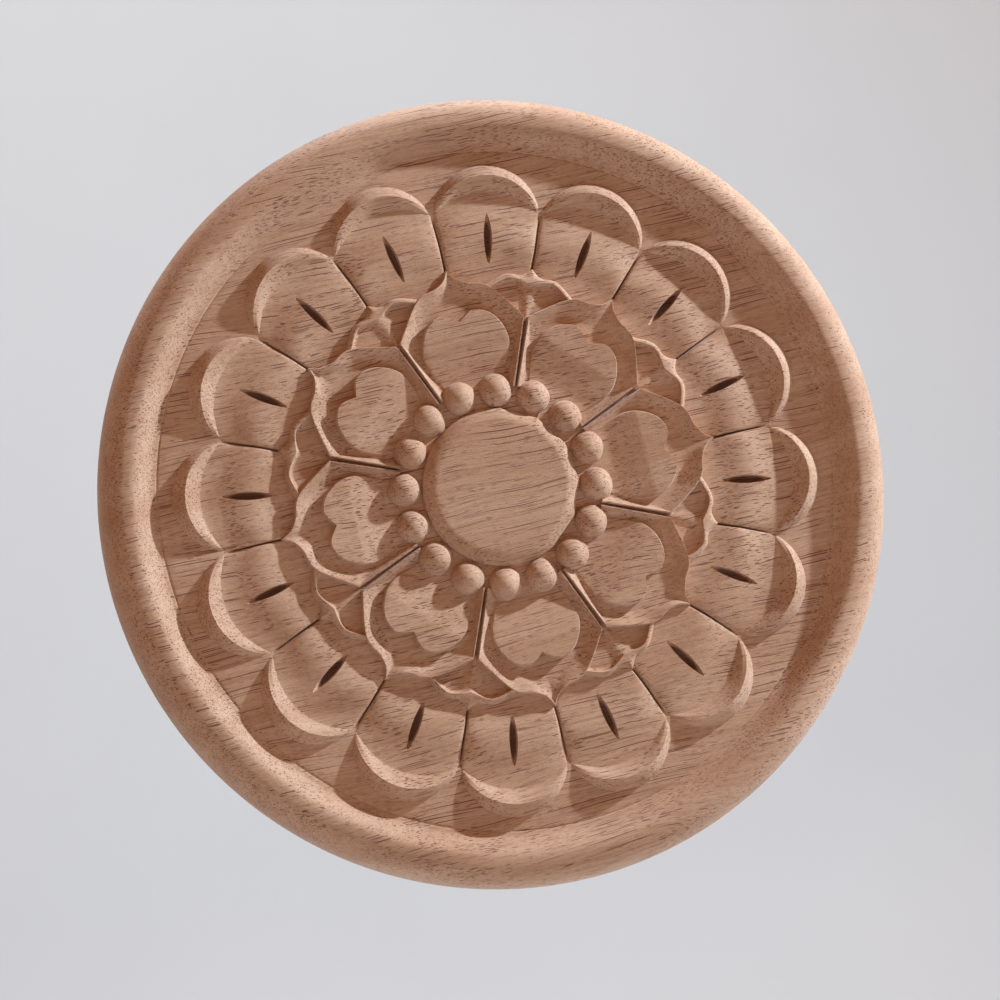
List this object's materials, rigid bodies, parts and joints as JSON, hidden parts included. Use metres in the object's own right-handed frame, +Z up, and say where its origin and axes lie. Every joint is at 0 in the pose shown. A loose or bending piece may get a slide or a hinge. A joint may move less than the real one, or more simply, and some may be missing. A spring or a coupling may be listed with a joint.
{
  "type": "wood onlay",
  "caption": "Round carved wood onlay: a rolled rim around a sunk floor with a many-petalled rosette, a ring of beads and a plain centre button.",
  "frame": {"origin": "centre of the flat back, on the face that is fixed to a panel, door or wall", "axes": "+Z up through the middle of an inner petal, +X along the wood grain, the carving faces -Y and the back faces +Y"},
  "size_m": [0.3, 0.0195, 0.3],
  "materials": {
    "wood": "bare sanded hardwood, matte, warm tan with fine dark pores along the grain"
  },
  "bodies": {
    "root": {"carved_onlay": "wood"}
  },
  "joints": []
}
